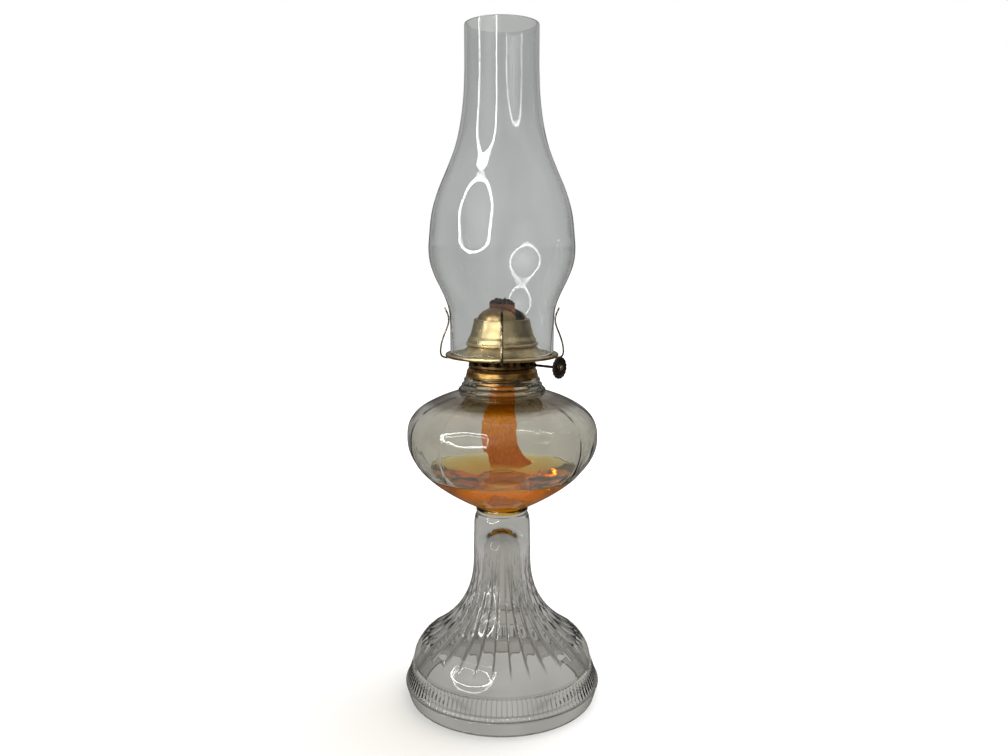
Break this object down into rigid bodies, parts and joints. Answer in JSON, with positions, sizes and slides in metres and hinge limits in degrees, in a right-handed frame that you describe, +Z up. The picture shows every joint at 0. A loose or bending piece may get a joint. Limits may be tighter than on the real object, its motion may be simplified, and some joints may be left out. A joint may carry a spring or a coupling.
{
  "type": "kerosene lamp",
  "caption": "Pressed-glass kerosene lamp with a footed oil bowl, a flat-wick brass burner with thumbwheel and prongs, and a lift-off bulged glass chimney.",
  "frame": {"origin": "centre of the foot's underside, on the surface that the lamp stands on", "axes": "+Z up along the lamp's axis; -Y towards the front, the side in the picture"},
  "size_m": [0.149, 0.149, 0.4961],
  "materials": {
    "pressed_glass": "clear, polished by the mould",
    "chimney_glass": "clear, blown and fire polished",
    "collar_brass": "satin",
    "burner_brass": "aged satin",
    "prong_brass": "worn satin",
    "wick_tube_copper": "heat-browned",
    "dark_metal": "oil-blackened",
    "rivet_metal": "worn bright",
    "wick_cotton": "woven, oil-soaked",
    "cement": "matt"
  },
  "bodies": {
    "lamp_base": {"pedestal": "pressed_glass", "font": "pressed_glass", "collar": "collar_brass", "collar_cement": "cement"},
    "burner_thread": {"thread_shell": "burner_brass"},
    "burner": {"base_plate": "burner_brass", "air_basket": "burner_brass", "gallery": "burner_brass", "diffuser_plate": "burner_brass", "deflector": "burner_brass", "wick_tube": "wick_tube_copper", "vent_tube": "burner_brass", "spindle_sleeve": "burner_brass"},
    "wick_raiser": {"wick_spindle": "dark_metal", "ratchet_wheel_left": "dark_metal", "ratchet_wheel_right": "dark_metal", "thumbwheel": "dark_metal", "thumbwheel_rivet": "rivet_metal"},
    "wick": {"wick": "wick_cotton"},
    "prong_front": {"prong_front": "prong_brass"},
    "prong_right": {"prong_right": "prong_brass"},
    "prong_back": {"prong_back": "prong_brass"},
    "prong_left": {"prong_left": "prong_brass"},
    "chimney": {"chimney": "chimney_glass"}
  },
  "joints": [
    {"name": "burner_rise", "type": "slide", "parent": "lamp_base", "child": "burner_thread", "axis": [0, 0, 1], "range_m": [0, 0.0055]},
    {"name": "burner_unscrew", "type": "hinge", "parent": "burner_thread", "child": "burner", "pos_m": [0, 0, 0.2536], "axis": [0, 0, 1], "range_deg": [0, 1080]},
    {"name": "knob_turn", "type": "hinge", "parent": "burner", "child": "wick_raiser", "pos_m": [0.00392, 0.00467, 0.2564], "axis": [-0.766, 0.6428, 0], "range_deg": [-135, 90]},
    {"name": "wick_slide", "type": "slide", "parent": "burner", "child": "wick", "axis": [0, 0, 1], "range_m": [-0.011, 0.0075]},
    {"name": "chimney_lift", "type": "slide", "parent": "burner", "child": "chimney", "axis": [0, 0, 1], "range_m": [0, 0.07]},
    {"name": "prong_front_flex", "type": "hinge", "parent": "burner", "child": "prong_front", "pos_m": [0, -0.0406, 0.2605], "axis": [1, 0, 0], "range_deg": [0, 5], "stiffness_Nm_per_rad": 0.2},
    {"name": "prong_right_flex", "type": "hinge", "parent": "burner", "child": "prong_right", "pos_m": [0.0406, 0, 0.2605], "axis": [0, 1, 0], "range_deg": [0, 5], "stiffness_Nm_per_rad": 0.2},
    {"name": "prong_back_flex", "type": "hinge", "parent": "burner", "child": "prong_back", "pos_m": [0, 0.0406, 0.2605], "axis": [-1, 0, 0], "range_deg": [0, 5], "stiffness_Nm_per_rad": 0.2},
    {"name": "prong_left_flex", "type": "hinge", "parent": "burner", "child": "prong_left", "pos_m": [-0.0406, 0, 0.2605], "axis": [0, -1, 0], "range_deg": [0, 5], "stiffness_Nm_per_rad": 0.2}
  ],
  "couplings": [
    {"joint": "burner_rise", "follows": "burner_unscrew", "m_per_rad": 0.0002887},
    {"joint": "wick_slide", "follows": "knob_turn", "m_per_rad": 0.0045}
  ]
}
